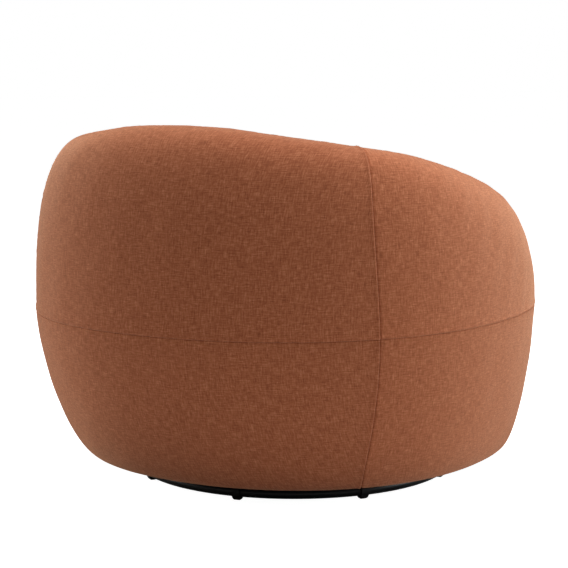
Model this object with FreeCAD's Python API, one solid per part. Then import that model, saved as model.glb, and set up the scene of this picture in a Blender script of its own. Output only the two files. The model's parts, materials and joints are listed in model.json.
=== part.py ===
import FreeCAD, Part
import math
import os

Vector = FreeCAD.Vector

# Overall sizes in millimetres. The origin is on the floor on the swivel axis, and the back faces +Y.
chair_height = 720.0
half_width = 485.0
girth_shift = 35.0
girth_back = 500.0
girth_front = 555.0
foot_inset = 76.5
foot_shift = -18.0
outline_power = 2.156
seam_share = 23 / 48
shell_bottom = 47.0

# Room inside the shell at seat level
side_wall = 186.0
back_wall = 310.0
inner_power = 3.2
halvings = 20

# Upholstery
pad_thickness = 14.0
pad_clearance = 0.5
ridge_gap = 0.4
ridge_inset_share = 0.65
inner_round_share = 0.32
gentle_turn = math.radians(12.0)
gentle_count = 2
tight_count = 6
inner_count = 5
hidden_count = 2
lower_count = 6

# Stations around the shell, in degrees from the middle of the back, and ridge heights at every ten
station_step = 6
ridge_step = 10
ridge_height_shares = [1.0, 0.9952, 0.9836, 0.9727, 0.9622, 0.9508, 0.939, 0.9253, 0.9023, 0.8679, 0.8234,
                       0.7642, 0.6733, 0.6052]
back_seam_degrees = 52.5
arm_end_degrees = 130.0

# Arm noses: forward reach and size of each section, drawn in toward one place across the arm
nose_length = 44.0
nose_centre_share = 0.68
nose_shares = [[0.0, 1.0], [0.3, 0.93], [0.6, 0.8], [0.85, 0.62], [1.0, 0.45]]

# Frame boards
board_thickness = 18.0
belt_thickness = 16.0
deck_thickness = 11.6
belt_landing = 30.0
belt_opening_front = 380.0
belt_opening_corner = 80.0
rib_thickness = 18.0
rib_depth = 105.0
front_rib_depth = 70.0
board_clearance = 0.4
slab_margin = 40.0
slab_length = 420.0
upper_rib_degrees = [0.0, 40.0, -40.0, 80.0, -80.0, 117.0, -117.0]
rib_reach_degrees = 14.0
lower_rib_degrees = [0.0, 45.0, -45.0, 90.0, -90.0, 128.0, -128.0, 180.0]
rail_outer_reach = 12.0
rail_inner_reach = 10.0
rail_drop = 6.5
rail_height = 20.0
rail_end_degrees = 120.0

# Seat support
strap_thickness = 1.2
strap_width = 50.0
strap_pitch = 95.0
strap_landing = 26.0
length_strap_places = [-2, -1, 0, 1, 2]
cross_strap_places = [-4, -3, -2, -1, 0, 1]
deck_margin = 6.0
deck_front_gap = 0.5

# Seat cushion
cushion_gap = 5.0
cushion_back_gap = 11.0
cushion_overhang = 4.0
cushion_back_corner = 160.0
cushion_front_corner = 60.0
cushion_front_radius = 493.0
cushion_height = 140.0
cushion_back_count = 7
cushion_corner_count = 4
cushion_bow_count = 3
cushion_level_shares = [0.0, 0.12, 0.3, 0.5, 0.64, 0.75, 0.84, 0.91, 0.96, 0.99, 1.0]
cushion_size_shares = [0.975, 0.995, 0.99, 1.0, 0.985, 0.945, 0.87, 0.74, 0.56, 0.34, 0.14]

# Base
ring_radius = 314.4
tube_radius = 11.0
tube_wall = 1.5
ring_count = 32
ring_height = 17.0
first_glide_degrees = 12.0
glide_count = 8
glide_length = 17.0
glide_outer_radius = 14.0
glide_clearance = 0.1
glide_lip = 5.0
glide_foot_reach = 8.0
spoke_count = 4
spoke_width = 40.0
spoke_depth = 15.0
weld_gap = 0.3
hub_thickness = 4.0
hub_side = 190.0
hub_hole_radius = 20.0

# Swivel
plate_side = 200.0
plate_thickness = 3.0
plate_corner = 16.0
race_radius = 70.0
race_width = 24.0
race_lip = 2.0
roller_radius = 4.0
roller_length = 12.0
roller_count = 8
roller_clearance = 0.05
roller_level = 37.75
cage_thickness = 1.5
cage_clearance = 0.3
rivet_radius = 12.5
rivet_wall = 3.0
rivet_clearance = 0.1
rivet_flange_radius = 18.0
rivet_flange_thickness = 2.5
rivet_lift = 0.1
board_hole_radius = 30.0
cover_margin = 3.0
cover_cloth = 1.0
cover_hole_gap = 2.0

seam_height = chair_height * seam_share
belt_top = seam_height - deck_thickness - 2 * strap_thickness
foot_half_width = half_width - foot_inset
foot_back = girth_back - foot_inset
foot_front = girth_front - foot_inset
seat_half_width = half_width - side_wall
seat_back_line = girth_shift + girth_back - back_wall
cushion_back_line = seat_back_line - cushion_back_gap
cushion_front_line = girth_front - girth_shift + cushion_overhang
belt_opening_half_width = seat_half_width - belt_landing
belt_opening_back = seat_back_line - belt_landing
spoke_top = ring_height + spoke_depth / 2
hub_top = spoke_top + hub_thickness
lower_plate_top = hub_top + plate_thickness
upper_plate_bottom = shell_bottom - plate_thickness
upper_plate_top = shell_bottom
board_top = shell_bottom + board_thickness
belt_bottom = belt_top - belt_thickness
hollow_depth = pad_thickness + pad_clearance
full_circle = 360
glide_pitch = full_circle / glide_count
spoke_pitch = full_circle / spoke_count
ring_step = full_circle / ring_count
first_spoke_degrees = first_glide_degrees + glide_pitch / 2
first_joint_degrees = first_glide_degrees + ring_step / 2
deck_bottom = belt_top + 2 * strap_thickness


def outline_point(turn, wide, shift, back, front):
    side = math.sin(turn)
    along = math.cos(turn)
    reach = back if along > 0 else front
    x = -math.copysign(wide * abs(side) ** (2 / outline_power), side)
    y = shift + math.copysign(reach * abs(along) ** (2 / outline_power), along)
    return Vector(x, y, 0)


def girth_point(turn):
    return outline_point(turn, half_width, girth_shift, girth_back, girth_front)


def foot_point(turn):
    return outline_point(turn, foot_half_width, foot_shift, foot_back, foot_front)


def upper_inward(turn):
    # the outline's normal around the back, and straight across along the arms
    place = girth_point(turn)
    if place.y < girth_shift:
        return Vector(-math.copysign(1, place.x), 0, 0)
    power = outline_power - 1
    across = math.copysign((abs(place.x) / half_width) ** power / half_width, place.x)
    along = (abs(place.y - girth_shift) / girth_back) ** power / girth_back
    return Vector(-across, -along, 0).normalize()


def lower_inward(turn):
    return (foot_point(turn) - girth_point(turn)).normalize()


def seat_side_reach(turn):
    # distance from the girth to the inner face at deck level
    start = girth_point(turn)
    heading = upper_inward(turn)
    if start.y < girth_shift:
        return abs(start.x) - seat_half_width
    near = 0
    far = half_width
    for _ in range(halvings):
        middle = (near + far) / 2
        place = start + heading * middle
        inside = (abs(place.x) / seat_half_width) ** inner_power
        inside += (max(place.y, 0) / seat_back_line) ** inner_power
        if inside > 1:
            near = middle
        else:
            far = middle
    return far


def ridge_height(degrees):
    place = abs(degrees) / ridge_step
    number = min(int(place), len(ridge_height_shares) - 2)
    low, high = ridge_height_shares[number:number + 2]
    return chair_height * (low + (high - low) * (place - number))


def wall_sizes(degrees):
    turn = math.radians(degrees)
    start = girth_point(turn)
    wall = half_width - seat_half_width
    if start.y < girth_shift:
        wall = abs(start.x) - seat_half_width
    return wall * ridge_inset_share, wall * inner_round_share


class Section:
    def __init__(self, turn, heading):
        self.start = girth_point(turn)
        self.heading = heading

    def at(self, reach, height):
        return self.start + self.heading * reach + Vector(0, 0, height)

    def corners(self, places):
        return [self.at(*place) for place in places]


def bend(centre, radius, begin, end, steps):
    # a rounding in short straight lengths
    places = []
    for step in range(steps + 1):
        angle = begin + (end - begin) * step / steps
        places.append((centre[0] + radius * math.cos(angle), centre[1] + radius * math.sin(angle)))
    return places


def arch_radii(inset, rise):
    # gentle arc up from the seam, then a tighter one over to the ridge
    low_lean = 1 - math.cos(gentle_turn)
    low_rise = math.sin(gentle_turn)
    high_lean = math.cos(gentle_turn)
    high_rise = 1 - math.sin(gentle_turn)
    scale = low_lean * high_rise - high_lean * low_rise
    gentle = (inset * high_rise - rise * high_lean) / scale
    tight = (low_lean * rise - low_rise * inset) / scale
    return gentle, tight


def arch(begin, inset, top, depth, gentle_steps, tight_steps):
    # from the seam up to the ridge
    gentle, tight = arch_radii(inset, top - seam_height)
    low_centre = (begin + gentle, seam_height)
    high_centre = (begin + inset, top - tight)
    places = bend(low_centre, gentle - depth, math.pi, math.pi - gentle_turn, gentle_steps)
    return places[:-1] + bend(high_centre, tight - depth, math.pi - gentle_turn, math.pi / 2, tight_steps)


def inner_face(degrees):
    # arc from the ridge, then a straight slope to the seat deck
    inset, radius = wall_sizes(degrees)
    centre = (inset + ridge_gap, ridge_height(degrees) - radius)
    reach = seat_side_reach(math.radians(degrees))
    across = reach - centre[0]
    drop = centre[1] - seam_height
    slope = math.acos(radius / math.hypot(across, drop)) - math.atan2(drop, across)
    return centre, radius, slope


def inner_bend(degrees, depth, shift, steps):
    centre, radius, slope = inner_face(degrees)
    return bend((centre[0] - shift, centre[1]), radius - depth, math.pi / 2, slope, steps)


def inner_line_end(degrees, depth, shift, height):
    centre, radius, slope = inner_face(degrees)
    drop = centre[1] - height
    return centre[0] - shift + (radius - depth + drop * math.sin(slope)) / math.cos(slope)


def upper_section(degrees):
    turn = math.radians(degrees)
    return Section(turn, upper_inward(turn))


def lower_section(degrees):
    turn = math.radians(degrees)
    return Section(turn, lower_inward(turn))


def outer_upper_corners(degrees):
    inset = wall_sizes(degrees)[0]
    top = ridge_height(degrees)
    places = arch(0, inset, top, 0, gentle_count, tight_count)
    hidden = arch(0, inset, top, pad_thickness, 1, hidden_count)
    return upper_section(degrees).corners(places + hidden[::-1])


def inner_pad_corners(degrees):
    front = inner_line_end(degrees, 0, 0, seam_height)
    rear = inner_line_end(degrees, pad_thickness, 0, seam_height)
    places = inner_bend(degrees, 0, 0, inner_count) + [(front, seam_height), (rear, seam_height)]
    hidden = inner_bend(degrees, pad_thickness, 0, hidden_count)
    return upper_section(degrees).corners(places + hidden[::-1])


def upper_hollow_corners(degrees):
    inset = wall_sizes(degrees)[0]
    rear = inner_line_end(degrees, hollow_depth, ridge_gap, seam_height)
    places = arch(0, inset, ridge_height(degrees), hollow_depth, 1, hidden_count)
    places += inner_bend(degrees, hollow_depth, ridge_gap, hidden_count)
    toe = chord_reach(degrees, hollow_depth, belt_top) + board_clearance
    places += [(rear, seam_height), (rear, belt_top), (toe, belt_top)]
    return upper_section(degrees).corners(places[::-1])


def lower_curve(degrees):
    turn = math.radians(degrees)
    inset = (foot_point(turn) - girth_point(turn)).Length
    drop = seam_height - shell_bottom
    return (inset ** 2 + drop ** 2) / (2 * inset)


def lower_reach(degrees, depth, height):
    radius = lower_curve(degrees)
    return radius - math.sqrt((radius - depth) ** 2 - (seam_height - height) ** 2)


def chord_reach(degrees, depth, height):
    # the hidden side of the lower padding, in two straight lengths that lie on the ribs
    middle = (shell_bottom + seam_height) / 2
    low, high = (middle, seam_height) if height > middle else (shell_bottom, middle)
    share = (height - low) / (high - low)
    return lower_reach(degrees, depth, low) * (1 - share) + lower_reach(degrees, depth, high) * share


def chord_places(degrees, depth):
    heights = (shell_bottom, (shell_bottom + seam_height) / 2, seam_height)
    return [(lower_reach(degrees, depth, height), height) for height in heights]


def outer_lower_corners(degrees):
    places = []
    for step in range(lower_count + 1):
        height = seam_height - (seam_height - shell_bottom) * math.sin(math.pi / 2 * step / lower_count)
        places.append((lower_reach(degrees, 0, height), height))
    return lower_section(degrees).corners(places + chord_places(degrees, pad_thickness))


def lower_hollow_corners(degrees):
    depth = front_rib_depth if degrees > arm_end_degrees else rib_depth
    back = lower_reach(degrees, hollow_depth, shell_bottom) + depth
    places = chord_places(degrees, hollow_depth) + [(back, seam_height), (back, shell_bottom)]
    return lower_section(degrees).corners(places)


def skin(sections):
    # flat faces between sections that have the same number of corners, split along the shorter diagonal
    faces = [Part.Face(Part.makePolygon(ends + ends[:1])) for ends in (sections[0], sections[-1])]
    for near, far in zip(sections, sections[1:]):
        for number in range(len(near)):
            patch = [near[number - 1], near[number], far[number], far[number - 1]]
            if patch[1].distanceToPoint(patch[3]) < patch[0].distanceToPoint(patch[2]):
                patch = patch[1:] + patch[:1]
            faces.append(Part.Face(Part.makePolygon([patch[0], patch[1], patch[2], patch[0]])))
            faces.append(Part.Face(Part.makePolygon([patch[0], patch[2], patch[3], patch[0]])))
    solid = Part.Solid(Part.Shell(faces))
    if solid.Volume < 0:
        solid.reverse()
    return solid


def mirrored(shape):
    return shape.mirror(Vector(0, 0, 0), Vector(1, 0, 0))


def stations_between(first, last):
    count = 2 * round((last - first) / (2 * station_step))
    return [first + (last - first) * number / count for number in range(count + 1)]


def all_stations():
    back = stations_between(-back_seam_degrees, back_seam_degrees)
    side = stations_between(back_seam_degrees, arm_end_degrees)
    front = stations_between(arm_end_degrees, full_circle - arm_end_degrees)
    return back[:-1] + side[:-1] + front[:-1] + [full_circle - degrees for degrees in side[::-1]]


def save(name, shape):
    shape.exportStep(os.path.join("parts", name + ".step"))


def make_outer_upper():
    back = stations_between(-back_seam_degrees, back_seam_degrees)
    side = stations_between(back_seam_degrees, arm_end_degrees)
    save("outer_back_upper", skin([outer_upper_corners(degrees) for degrees in back]))
    right = skin([outer_upper_corners(degrees) for degrees in side])
    save("outer_side_upper_right", right)
    save("outer_side_upper_left", mirrored(right))


def make_inner_pads():
    back = stations_between(-back_seam_degrees, back_seam_degrees)
    side = stations_between(back_seam_degrees, arm_end_degrees)
    save("inner_back_pad", skin([inner_pad_corners(degrees) for degrees in back]))
    right = skin([inner_pad_corners(degrees) for degrees in side])
    save("inner_arm_pad_right", right)
    save("inner_arm_pad_left", mirrored(right))


def make_outer_lower():
    back = stations_between(-back_seam_degrees, back_seam_degrees)
    side = stations_between(back_seam_degrees, arm_end_degrees)
    save("outer_back_lower", skin([outer_lower_corners(degrees) for degrees in back]))
    right = skin([outer_lower_corners(degrees) for degrees in side])
    save("outer_side_lower_right", right)
    save("outer_side_lower_left", mirrored(right))
    front = stations_between(arm_end_degrees, full_circle - arm_end_degrees)
    save("front_band", skin([outer_lower_corners(degrees) for degrees in front]))


def nose_corners(forward_share, size_share):
    # the arm's end section, drawn in toward one place on its bottom line
    section = upper_section(arm_end_degrees)
    section.start = section.start - Vector(0, nose_length * forward_share, 0)
    inset, radius = wall_sizes(arm_end_degrees)
    width = seat_side_reach(math.radians(arm_end_degrees))
    outer = width * nose_centre_share * (1 - size_share)
    high = seam_height + (ridge_height(arm_end_degrees) - seam_height) * size_share
    round_centre = (outer + (inset + ridge_gap) * size_share, high - radius * size_share)
    slope = inner_face(arm_end_degrees)[2]
    places = arch(outer, inset * size_share, high, 0, gentle_count, tight_count)
    places += bend(round_centre, radius * size_share, math.pi / 2, slope, inner_count)
    places.append((outer + width * size_share, seam_height))
    return section.corners(places)


def make_noses():
    right = skin([nose_corners(*shares) for shares in nose_shares])
    save("arm_nose_right", right)
    save("arm_nose_left", mirrored(right))


def slab(degrees, heading, low, high):
    box = Part.makeBox(slab_length, rib_thickness, high - low)
    box.translate(Vector(-slab_margin, -rib_thickness / 2, low))
    box.rotate(Vector(0, 0, 0), Vector(0, 0, 1), math.degrees(math.atan2(heading.y, heading.x)))
    box.translate(girth_point(math.radians(degrees)))
    return box


def hollow_near(degrees, corners):
    # the room between the padding of a panel, close to one rib
    first, last = -back_seam_degrees, back_seam_degrees
    if abs(degrees) > arm_end_degrees:
        first, last = arm_end_degrees, full_circle - arm_end_degrees
    elif abs(degrees) > back_seam_degrees:
        first, last = back_seam_degrees, arm_end_degrees
    place = abs(degrees)
    near = [station for station in stations_between(first, last) if abs(station - place) < rib_reach_degrees]
    hollow = skin([corners(station) for station in near])
    return mirrored(hollow) if degrees < 0 else hollow


def rail_corners(degrees, lift):
    inset = wall_sizes(degrees)[0]
    high = ridge_height(degrees) - hollow_depth - rail_drop + lift
    low = high - rail_height - lift
    places = [(inset - rail_outer_reach, high), (inset + rail_inner_reach, high)]
    places += [(inset + rail_inner_reach, low), (inset - rail_outer_reach, low)]
    return upper_section(degrees).corners(places)


def make_upper_frame():
    stations = stations_between(-rail_end_degrees, rail_end_degrees)
    save("top_rail", skin([rail_corners(degrees, 0) for degrees in stations]))
    notch = skin([rail_corners(degrees, rail_height) for degrees in stations])
    for number, degrees in enumerate(upper_rib_degrees, 1):
        piece = slab(degrees, upper_inward(math.radians(degrees)), belt_top, chair_height)
        save("upper_rib_%d" % number, piece.common(hollow_near(degrees, upper_hollow_corners)).cut(notch))


def make_lower_frame():
    for number, degrees in enumerate(lower_rib_degrees, 1):
        piece = slab(degrees, lower_inward(math.radians(degrees)), board_top, belt_bottom)
        save("lower_rib_%d" % number, piece.common(hollow_near(degrees, lower_hollow_corners)))


def shell_outline(depth, height, margin):
    # a closed line inside the lower shell
    places = []
    for degrees in all_stations():
        turn = math.radians(degrees)
        reach = chord_reach(degrees, depth, height) + margin
        places.append(girth_point(turn) + lower_inward(turn) * reach)
    places[-1] = places[0]
    return Part.makePolygon(places)


def prism(wire, low, high):
    face = Part.Face(Part.Wire(wire.Edges))
    face.translate(Vector(0, 0, low))
    return face.extrude(Vector(0, 0, high - low))


def rounded_box(half_x, low_y, high_y, corner, low, high):
    box = Part.makeBox(2 * half_x, high_y - low_y, high - low)
    box.translate(Vector(-half_x, low_y, low))
    upright = [edge for edge in box.Edges if edge.BoundBox.XLength + edge.BoundBox.YLength < corner / 2]
    return box.makeFillet(corner, upright)


def disc(radius, low, high):
    return Part.makeCylinder(radius, high - low, Vector(0, 0, low))


def base_turned(shape):
    shape.rotate(Vector(0, 0, 0), Vector(0, 0, 1), first_spoke_degrees)
    return shape


def make_boards():
    board = prism(shell_outline(hollow_depth, shell_bottom, board_clearance), shell_bottom, board_top)
    board = board.cut(disc(board_hole_radius, shell_bottom, board_top))
    save("base_board", board)
    belt = prism(shell_outline(hollow_depth, belt_bottom, board_clearance), belt_bottom, belt_top)
    opening = rounded_box(belt_opening_half_width, -belt_opening_front, belt_opening_back,
                          belt_opening_corner, belt_bottom, belt_top)
    save("belt_board", belt.cut(opening))


def make_dust_cover():
    low = shell_bottom - cover_cloth
    cloth = prism(shell_outline(0, shell_bottom, cover_margin), low, shell_bottom)
    half = plate_side / 2 + cover_hole_gap
    save("dust_cover", cloth.cut(rounded_box(half, -half, half, plate_corner, low, shell_bottom)))


def make_webbing():
    length = belt_opening_back + belt_opening_front + 2 * strap_landing
    straps = []
    for place in length_strap_places:
        strap = Part.makeBox(strap_width, length, strap_thickness)
        corner = Vector(place * strap_pitch - strap_width / 2, -belt_opening_front - strap_landing, belt_top)
        strap.translate(corner)
        straps.append(strap)
    save("webbing_lengthwise", Part.makeCompound(straps))
    length = 2 * (belt_opening_half_width + strap_landing)
    straps = []
    for place in cross_strap_places:
        strap = Part.makeBox(length, strap_width, strap_thickness)
        strap.translate(Vector(-length / 2, place * strap_pitch, belt_top + strap_thickness))
        straps.append(strap)
    save("webbing_crosswise", Part.makeCompound(straps))


def make_deck():
    outline = prism(shell_outline(hollow_depth, belt_bottom, board_clearance), deck_bottom, seam_height)
    arm_end = girth_point(math.radians(arm_end_degrees)).y
    front = Part.makeBox(2 * half_width, 2 * half_width, seam_height)
    front.translate(Vector(-half_width, arm_end - deck_front_gap - 2 * half_width, 0))
    half = seat_half_width + deck_margin
    back = seat_back_line + deck_margin
    places = []
    for degrees in stations_between(-90, 90):
        turn = math.radians(degrees)
        x = math.copysign(half * abs(math.sin(turn)) ** (2 / inner_power), math.sin(turn))
        places.append(Vector(x, back * abs(math.cos(turn)) ** (2 / inner_power), 0))
    places += [Vector(half, arm_end - slab_margin, 0), Vector(-half, arm_end - slab_margin, 0), places[0]]
    rear = prism(Part.makePolygon(places), deck_bottom, seam_height)
    save("seat_deck", rear.fuse(outline.common(front)).removeSplitter())


def cushion_outline():
    # straight sides, rounded back corners and a bowed front with rounded corners
    side = seat_half_width - cushion_gap
    bow = cushion_front_radius - cushion_front_line
    reach = side - cushion_front_corner
    fillet_y = bow - math.sqrt((cushion_front_radius - cushion_front_corner) ** 2 - reach ** 2)
    swing = math.atan2(reach, bow - fillet_y)
    back_centre = (side - cushion_back_corner, cushion_back_line - cushion_back_corner)
    right = bend(back_centre, cushion_back_corner, math.pi / 2, 0, cushion_back_count)
    right += bend((reach, fillet_y), cushion_front_corner, 0, swing - math.pi / 2, cushion_corner_count)
    right += bend((0, bow), cushion_front_radius, swing - math.pi / 2, -math.pi / 2, cushion_bow_count)[1:]
    return right + [(-x, y) for x, y in right[-2::-1]]


def cushion_corners(size_share, height):
    centre = (cushion_back_line - cushion_front_line) / 2
    return [Vector(x * size_share, centre + (y - centre) * size_share, height) for x, y in cushion_outline()]


def make_cushion():
    sections = []
    for level, size in zip(cushion_level_shares, cushion_size_shares):
        sections.append(cushion_corners(size, seam_height + cushion_height * level))
    save("seat_cushion", skin(sections))


def rolled_tube(radius):
    # a rolled tube in short straight lengths, with a glide or a spoke at the middle of a length
    rounds = []
    for number in range(ring_count):
        angle = math.radians(first_joint_degrees + number * ring_step)
        heading = Vector(math.cos(angle), math.sin(angle), 0)
        centre = Vector(-heading.y, heading.x, 0) * ring_radius + Vector(0, 0, ring_height)
        rounds.append(Part.Wire(Part.Circle(centre, heading, radius).toShape()))
    return Part.makeLoft(rounds, True, True, True)


def make_ring():
    save("base_ring", rolled_tube(tube_radius))


def make_spokes():
    low = ring_height - spoke_depth / 2
    half = spoke_width / 2
    places = [(0, 0), (half, half), (half, ring_radius), (-half, ring_radius), (-half, half), (0, 0)]
    plan = Part.makePolygon([Vector(x, y, 0) for x, y in places])
    bore_length = ring_radius + spoke_width
    bore = Part.makeBox(spoke_width - 2 * tube_wall, bore_length, spoke_depth - 2 * tube_wall)
    bore.translate(Vector(tube_wall - half, 0, low + tube_wall))
    spoke = prism(plan, low, low + spoke_depth).cut(bore).cut(rolled_tube(tube_radius + weld_gap))
    for number in range(spoke_count):
        turned = spoke.copy()
        turned.rotate(Vector(0, 0, 0), Vector(0, 0, 1), first_spoke_degrees + number * spoke_pitch)
        save("base_spoke_%d" % (number + 1), turned)


def make_glides():
    middle = ring_radius * math.cos(math.radians(ring_step / 2))
    start = Vector(-glide_length / 2, middle, ring_height)
    saddle = Part.makeCylinder(glide_outer_radius, glide_length, start, Vector(1, 0, 0))
    lid = Part.makeBox(glide_length, 2 * glide_outer_radius, glide_outer_radius)
    lid.translate(start + Vector(0, -glide_outer_radius, glide_lip))
    foot = Part.makeBox(glide_length, 2 * glide_foot_reach, ring_height - tube_radius)
    foot.translate(Vector(-glide_length / 2, middle - glide_foot_reach, 0))
    bore = Part.makeCylinder(tube_radius + glide_clearance, glide_length, start, Vector(1, 0, 0))
    glide = saddle.cut(lid).fuse(foot).cut(bore).removeSplitter()
    glides = []
    for number in range(glide_count):
        turned = glide.copy()
        turned.rotate(Vector(0, 0, 0), Vector(0, 0, 1), first_glide_degrees + number * glide_pitch)
        glides.append(turned)
    save("floor_glides", Part.makeCompound(glides))


def ring(inner, outer, low, high):
    return disc(outer, low, high).cut(disc(inner, low, high))


def lower_race():
    # a flat track with a lip around it that keeps the cage in place
    outer = race_radius + race_width / 2
    track_top = roller_level - roller_radius - roller_clearance
    track = ring(race_radius - race_width / 2, outer, lower_plate_top, track_top)
    return track.fuse(ring(outer - race_lip, outer, lower_plate_top, roller_level + cage_thickness / 2))


def upper_race():
    track_bottom = roller_level + roller_radius + roller_clearance
    return ring(race_radius - race_width / 2, race_radius + race_width / 2, track_bottom, upper_plate_bottom)


def square_plate(side, low, high):
    return rounded_box(side / 2, -side / 2, side / 2, plate_corner, low, high)


def make_base_plates():
    hub = square_plate(hub_side, spoke_top, hub_top).cut(disc(hub_hole_radius, spoke_top, hub_top))
    lower = square_plate(plate_side, hub_top, lower_plate_top).fuse(lower_race())
    lower = lower.cut(disc(rivet_radius, hub_top, lower_plate_top))
    save("hub_plate", base_turned(hub))
    save("lower_bearing_plate", base_turned(lower.removeSplitter()))


def make_rivet():
    top = upper_plate_top + rivet_lift
    rivet = disc(rivet_radius, hub_top, top)
    rivet = rivet.fuse(disc(rivet_flange_radius, hub_top - rivet_flange_thickness, hub_top))
    rivet = rivet.fuse(disc(rivet_flange_radius, top, top + rivet_flange_thickness))
    inside = disc(rivet_radius - rivet_wall, hub_top - rivet_flange_thickness, top + rivet_flange_thickness)
    save("pivot_rivet", rivet.cut(inside).removeSplitter())


def make_upper_plate():
    plate = square_plate(plate_side, upper_plate_bottom, upper_plate_top)
    plate = plate.fuse(upper_race())
    plate = plate.cut(disc(rivet_radius + rivet_clearance, upper_plate_bottom, upper_plate_top))
    save("upper_bearing_plate", plate.removeSplitter())


def make_roller_race():
    low = roller_level - cage_thickness / 2
    high = roller_level + cage_thickness / 2
    reach = race_width / 2 - race_lip - cage_clearance
    cage = ring(race_radius - reach, race_radius + reach, low, high)
    rollers = []
    for number in range(roller_count):
        angle = number * full_circle / roller_count
        start = Vector(race_radius - roller_length / 2, 0, roller_level)
        roller = Part.makeCylinder(roller_radius, roller_length, start, Vector(1, 0, 0))
        roller.rotate(Vector(0, 0, 0), Vector(0, 0, 1), angle)
        rollers.append(roller)
        pocket_half = roller_radius + cage_clearance
        pocket = Part.makeBox(roller_length + 2 * cage_clearance, 2 * pocket_half, cage_thickness)
        pocket.translate(Vector(race_radius - roller_length / 2 - cage_clearance, -pocket_half, low))
        pocket.rotate(Vector(0, 0, 0), Vector(0, 0, 1), angle)
        cage = cage.cut(pocket)
    save("roller_cage", cage)
    save("bearing_rollers", Part.makeCompound(rollers))


os.makedirs("parts", exist_ok=True)
make_outer_upper()
make_inner_pads()
make_outer_lower()
make_noses()
make_upper_frame()
make_lower_frame()
make_boards()
make_dust_cover()
make_webbing()
make_deck()
make_cushion()
make_ring()
make_spokes()
make_glides()
make_base_plates()
make_rivet()
make_upper_plate()
make_roller_race()
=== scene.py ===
import json
import math

import bmesh
import bpy
import numpy as np
from mathutils import Matrix, Vector, kdtree


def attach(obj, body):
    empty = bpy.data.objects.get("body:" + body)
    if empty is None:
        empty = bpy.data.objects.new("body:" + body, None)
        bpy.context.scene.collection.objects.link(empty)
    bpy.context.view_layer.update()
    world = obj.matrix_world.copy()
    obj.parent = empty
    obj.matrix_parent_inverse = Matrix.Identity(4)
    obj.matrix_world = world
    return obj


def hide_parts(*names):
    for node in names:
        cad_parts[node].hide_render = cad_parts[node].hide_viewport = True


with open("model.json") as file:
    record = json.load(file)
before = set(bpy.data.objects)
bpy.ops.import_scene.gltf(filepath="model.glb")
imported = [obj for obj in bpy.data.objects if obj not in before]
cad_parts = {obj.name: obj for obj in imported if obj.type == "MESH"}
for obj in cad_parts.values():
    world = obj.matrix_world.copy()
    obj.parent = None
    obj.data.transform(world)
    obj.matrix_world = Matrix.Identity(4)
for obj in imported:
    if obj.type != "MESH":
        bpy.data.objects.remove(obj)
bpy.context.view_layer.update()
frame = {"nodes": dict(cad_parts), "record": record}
print("frame loaded")

fullTurn, quarterTurn = 2 * math.pi, math.pi / 2


# helpers for numbers and meshes

def hermite(xs, ys, at):  # smooth curve through a few values
    xs, ys = np.array(xs, float), np.array(ys, float)
    slope = np.gradient(ys, xs)
    at = np.clip(np.abs(at), xs[0], xs[-1])
    k = np.clip(np.searchsorted(xs, at, side="right") - 1, 0, len(xs) - 2)
    span = xs[k + 1] - xs[k]
    t = (at - xs[k]) / span
    return ((2 * t**3 - 3 * t**2 + 1) * ys[k] + (t**3 - 2 * t**2 + t) * span * slope[k]
            + (3 * t**2 - 2 * t**3) * ys[k + 1] + (t**3 - t**2) * span * slope[k + 1])


def unit(v):
    return v / np.maximum(np.linalg.norm(v, axis=-1, keepdims=True), 1e-12)


def wayAlong(points):  # distance from the first point of a line to each of its points
    return np.concatenate([[0], np.cumsum(np.linalg.norm(np.diff(points, axis=0), axis=1))])


def softNoise(u, v, seed, waves=7, pitches=(0.6, 1.6)):  # a smooth random field from a few plane waves
    rng = np.random.default_rng(seed)
    total = np.zeros(np.broadcast(u, v).shape)
    for _ in range(waves):
        turn, phase, pitch = rng.uniform(0, fullTurn), rng.uniform(0, fullTurn), rng.uniform(*pitches)
        total += np.sin((u * math.cos(turn) + v * math.sin(turn)) * pitch + phase)
    return total / math.sqrt(waves)


def vertexGrid(rows, cols):
    return np.arange(rows * cols).reshape(rows, cols)


def gridQuads(grid):  # the faces between neighbouring vertices of a grid
    return np.stack([grid[:-1, :-1], grid[1:, :-1], grid[1:, 1:], grid[:-1, 1:]], -1).reshape(-1, 4)


def slabFaces(rows, cols):  # a grid in front, the same grid behind it, and the rims between them
    front = vertexGrid(rows, cols)
    back = front + rows * cols
    faces = [gridQuads(front), gridQuads(back)[:, ::-1]]
    for one, other in ((front[0], back[0]), (front[-1][::-1], back[-1][::-1]),
                       (front[:, 0][::-1], back[:, 0][::-1]), (front[:, -1], back[:, -1])):
        faces.append(np.stack([one[:-1], one[1:], other[1:], other[:-1]], -1))
    return np.concatenate(faces)


def newMesh(name, verts, faces, uvs=None, smooth=True):
    mesh = bpy.data.meshes.new(name)
    mesh.from_pydata(np.asarray(verts, float).reshape(-1, 3).tolist(), [], [tuple(map(int, f)) for f in faces])
    if uvs is not None:
        layer = mesh.uv_layers.new(name="cloth")
        loops = np.zeros(len(mesh.loops), int)
        mesh.loops.foreach_get("vertex_index", loops)
        layer.data.foreach_set("uv", np.asarray(uvs, float).reshape(-1, 2)[loops].ravel())
    mesh.polygons.foreach_set("use_smooth", [smooth] * len(mesh.polygons))
    mesh.validate()
    obj = bpy.data.objects.new(name, mesh)
    bpy.context.scene.collection.objects.link(obj)
    return obj


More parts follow.
